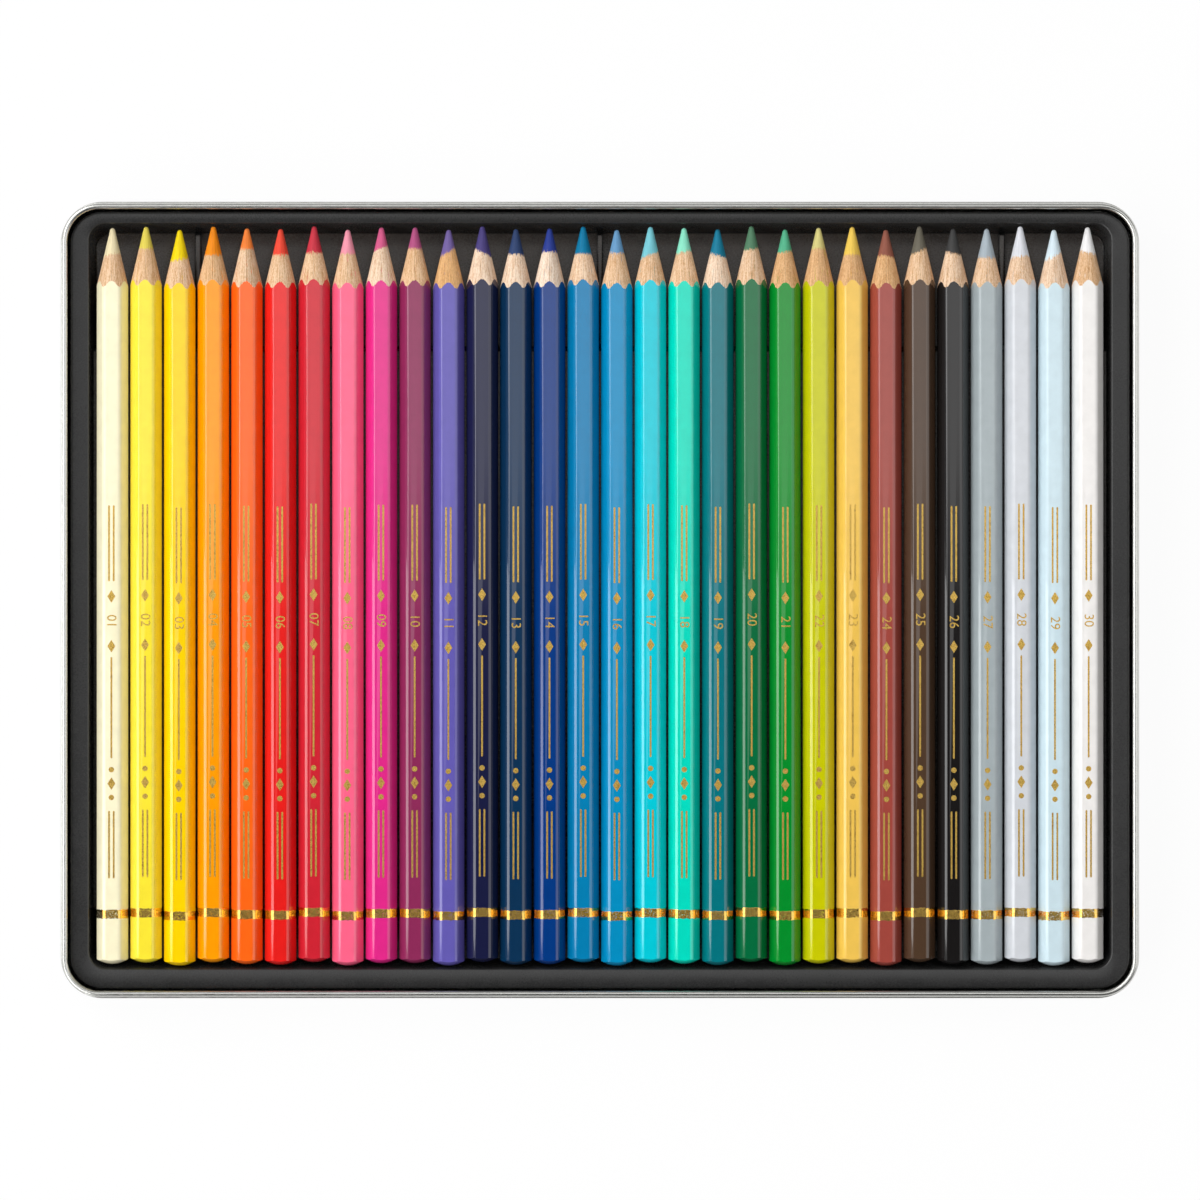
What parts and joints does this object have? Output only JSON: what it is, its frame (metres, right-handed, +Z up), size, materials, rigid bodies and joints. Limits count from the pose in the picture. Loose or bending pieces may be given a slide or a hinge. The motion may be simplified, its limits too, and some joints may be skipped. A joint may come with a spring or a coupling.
{
  "type": "coloured pencil box",
  "caption": "Flat metal pencil tin with a black moulded tray holding one row of sharpened hexagonal coloured pencils, standing open in its upturned slip lid.",
  "frame": {"origin": "middle of the underside, on the surface that the box stands on", "axes": "+X along the row of pencils, +Y towards the pencil points, +Z up"},
  "size_m": [0.257, 0.1898, 0.0143],
  "materials": {
    "tinplate": "satin",
    "tray_plastic": "satin",
    "gold_foil": "gloss",
    "lacquer_ivory": "gloss",
    "lacquer_lemon": "gloss",
    "lacquer_yellow": "gloss",
    "lacquer_amber": "gloss",
    "lacquer_orange": "gloss",
    "lacquer_scarlet": "gloss",
    "lacquer_crimson": "gloss",
    "lacquer_pink": "gloss",
    "lacquer_magenta": "gloss",
    "lacquer_plum": "gloss",
    "lacquer_violet": "gloss",
    "lacquer_indigo": "gloss",
    "lacquer_night_blue": "gloss",
    "lacquer_ultramarine": "gloss",
    "lacquer_cerulean": "gloss",
    "lacquer_sky_blue": "gloss",
    "lacquer_turquoise": "gloss",
    "lacquer_mint": "gloss",
    "lacquer_teal": "gloss",
    "lacquer_forest_green": "gloss",
    "lacquer_green": "gloss",
    "lacquer_lime": "gloss",
    "lacquer_ochre": "gloss",
    "lacquer_russet": "gloss",
    "lacquer_umber": "gloss",
    "lacquer_black": "gloss",
    "lacquer_grey": "gloss",
    "lacquer_silver_grey": "gloss",
    "lacquer_ice_blue": "gloss",
    "lacquer_white": "gloss"
  },
  "bodies": {
    "lid": {"lid": "tinplate"},
    "tin": {"tin_base": "tinplate"},
    "tray": {"pencil_tray": "tray_plastic"},
    "pencil_01_ivory": {"pencil_01_ivory": "lacquer_ivory"},
    "pencil_02_lemon": {"pencil_02_lemon": "lacquer_lemon"},
    "pencil_03_yellow": {"pencil_03_yellow": "lacquer_yellow"},
    "pencil_04_amber": {"pencil_04_amber": "lacquer_amber"},
    "pencil_05_orange": {"pencil_05_orange": "lacquer_orange"},
    "pencil_06_scarlet": {"pencil_06_scarlet": "lacquer_scarlet"},
    "pencil_07_crimson": {"pencil_07_crimson": "lacquer_crimson"},
    "pencil_08_pink": {"pencil_08_pink": "lacquer_pink"},
    "pencil_09_magenta": {"pencil_09_magenta": "lacquer_magenta"},
    "pencil_10_plum": {"pencil_10_plum": "lacquer_plum"},
    "pencil_11_violet": {"pencil_11_violet": "lacquer_violet"},
    "pencil_12_indigo": {"pencil_12_indigo": "lacquer_indigo"},
    "pencil_13_night_blue": {"pencil_13_night_blue": "lacquer_night_blue"},
    "pencil_14_ultramarine": {"pencil_14_ultramarine": "lacquer_ultramarine"},
    "pencil_15_cerulean": {"pencil_15_cerulean": "lacquer_cerulean"},
    "pencil_16_sky_blue": {"pencil_16_sky_blue": "lacquer_sky_blue"},
    "pencil_17_turquoise": {"pencil_17_turquoise": "lacquer_turquoise"},
    "pencil_18_mint": {"pencil_18_mint": "lacquer_mint"},
    "pencil_19_teal": {"pencil_19_teal": "lacquer_teal"},
    "pencil_20_forest_green": {"pencil_20_forest_green": "lacquer_forest_green"},
    "pencil_21_green": {"pencil_21_green": "lacquer_green"},
    "pencil_22_lime": {"pencil_22_lime": "lacquer_lime"},
    "pencil_23_ochre": {"pencil_23_ochre": "lacquer_ochre"},
    "pencil_24_russet": {"pencil_24_russet": "lacquer_russet"},
    "pencil_25_umber": {"pencil_25_umber": "lacquer_umber"},
    "pencil_26_black": {"pencil_26_black": "lacquer_black"},
    "pencil_27_grey": {"pencil_27_grey": "lacquer_grey"},
    "pencil_28_silver_grey": {"pencil_28_silver_grey": "lacquer_silver_grey"},
    "pencil_29_ice_blue": {"pencil_29_ice_blue": "lacquer_ice_blue"},
    "pencil_30_white": {"pencil_30_white": "lacquer_white"}
  },
  "joints": [
    {"name": "tin_lift", "type": "slide", "parent": "lid", "child": "tin", "axis": [0, 0, 1], "range_m": [0, 0.03]},
    {"name": "tray_lift", "type": "slide", "parent": "tin", "child": "tray", "axis": [0, 0, 1], "range_m": [0, 0.03]},
    {"name": "pencil_01_ivory_lift", "type": "slide", "parent": "tray", "child": "pencil_01_ivory", "axis": [0, 0, 1], "range_m": [0, 0.04]},
    {"name": "pencil_02_lemon_lift", "type": "slide", "parent": "tray", "child": "pencil_02_lemon", "axis": [0, 0, 1], "range_m": [0, 0.04]},
    {"name": "pencil_03_yellow_lift", "type": "slide", "parent": "tray", "child": "pencil_03_yellow", "axis": [0, 0, 1], "range_m": [0, 0.04]},
    {"name": "pencil_04_amber_lift", "type": "slide", "parent": "tray", "child": "pencil_04_amber", "axis": [0, 0, 1], "range_m": [0, 0.04]},
    {"name": "pencil_05_orange_lift", "type": "slide", "parent": "tray", "child": "pencil_05_orange", "axis": [0, 0, 1], "range_m": [0, 0.04]},
    {"name": "pencil_06_scarlet_lift", "type": "slide", "parent": "tray", "child": "pencil_06_scarlet", "axis": [0, 0, 1], "range_m": [0, 0.04]},
    {"name": "pencil_07_crimson_lift", "type": "slide", "parent": "tray", "child": "pencil_07_crimson", "axis": [0, 0, 1], "range_m": [0, 0.04]},
    {"name": "pencil_08_pink_lift", "type": "slide", "parent": "tray", "child": "pencil_08_pink", "axis": [0, 0, 1], "range_m": [0, 0.04]},
    {"name": "pencil_09_magenta_lift", "type": "slide", "parent": "tray", "child": "pencil_09_magenta", "axis": [0, 0, 1], "range_m": [0, 0.04]},
    {"name": "pencil_10_plum_lift", "type": "slide", "parent": "tray", "child": "pencil_10_plum", "axis": [0, 0, 1], "range_m": [0, 0.04]},
    {"name": "pencil_11_violet_lift", "type": "slide", "parent": "tray", "child": "pencil_11_violet", "axis": [0, 0, 1], "range_m": [0, 0.04]},
    {"name": "pencil_12_indigo_lift", "type": "slide", "parent": "tray", "child": "pencil_12_indigo", "axis": [0, 0, 1], "range_m": [0, 0.04]},
    {"name": "pencil_13_night_blue_lift", "type": "slide", "parent": "tray", "child": "pencil_13_night_blue", "axis": [0, 0, 1], "range_m": [0, 0.04]},
    {"name": "pencil_14_ultramarine_lift", "type": "slide", "parent": "tray", "child": "pencil_14_ultramarine", "axis": [0, 0, 1], "range_m": [0, 0.04]},
    {"name": "pencil_15_cerulean_lift", "type": "slide", "parent": "tray", "child": "pencil_15_cerulean", "axis": [0, 0, 1], "range_m": [0, 0.04]},
    {"name": "pencil_16_sky_blue_lift", "type": "slide", "parent": "tray", "child": "pencil_16_sky_blue", "axis": [0, 0, 1], "range_m": [0, 0.04]},
    {"name": "pencil_17_turquoise_lift", "type": "slide", "parent": "tray", "child": "pencil_17_turquoise", "axis": [0, 0, 1], "range_m": [0, 0.04]},
    {"name": "pencil_18_mint_lift", "type": "slide", "parent": "tray", "child": "pencil_18_mint", "axis": [0, 0, 1], "range_m": [0, 0.04]},
    {"name": "pencil_19_teal_lift", "type": "slide", "parent": "tray", "child": "pencil_19_teal", "axis": [0, 0, 1], "range_m": [0, 0.04]},
    {"name": "pencil_20_forest_green_lift", "type": "slide", "parent": "tray", "child": "pencil_20_forest_green", "axis": [0, 0, 1], "range_m": [0, 0.04]},
    {"name": "pencil_21_green_lift", "type": "slide", "parent": "tray", "child": "pencil_21_green", "axis": [0, 0, 1], "range_m": [0, 0.04]},
    {"name": "pencil_22_lime_lift", "type": "slide", "parent": "tray", "child": "pencil_22_lime", "axis": [0, 0, 1], "range_m": [0, 0.04]},
    {"name": "pencil_23_ochre_lift", "type": "slide", "parent": "tray", "child": "pencil_23_ochre", "axis": [0, 0, 1], "range_m": [0, 0.04]},
    {"name": "pencil_24_russet_lift", "type": "slide", "parent": "tray", "child": "pencil_24_russet", "axis": [0, 0, 1], "range_m": [0, 0.04]},
    {"name": "pencil_25_umber_lift", "type": "slide", "parent": "tray", "child": "pencil_25_umber", "axis": [0, 0, 1], "range_m": [0, 0.04]},
    {"name": "pencil_26_black_lift", "type": "slide", "parent": "tray", "child": "pencil_26_black", "axis": [0, 0, 1], "range_m": [0, 0.04]},
    {"name": "pencil_27_grey_lift", "type": "slide", "parent": "tray", "child": "pencil_27_grey", "axis": [0, 0, 1], "range_m": [0, 0.04]},
    {"name": "pencil_28_silver_grey_lift", "type": "slide", "parent": "tray", "child": "pencil_28_silver_grey", "axis": [0, 0, 1], "range_m": [0, 0.04]},
    {"name": "pencil_29_ice_blue_lift", "type": "slide", "parent": "tray", "child": "pencil_29_ice_blue", "axis": [0, 0, 1], "range_m": [0, 0.04]},
    {"name": "pencil_30_white_lift", "type": "slide", "parent": "tray", "child": "pencil_30_white", "axis": [0, 0, 1], "range_m": [0, 0.04]}
  ]
}
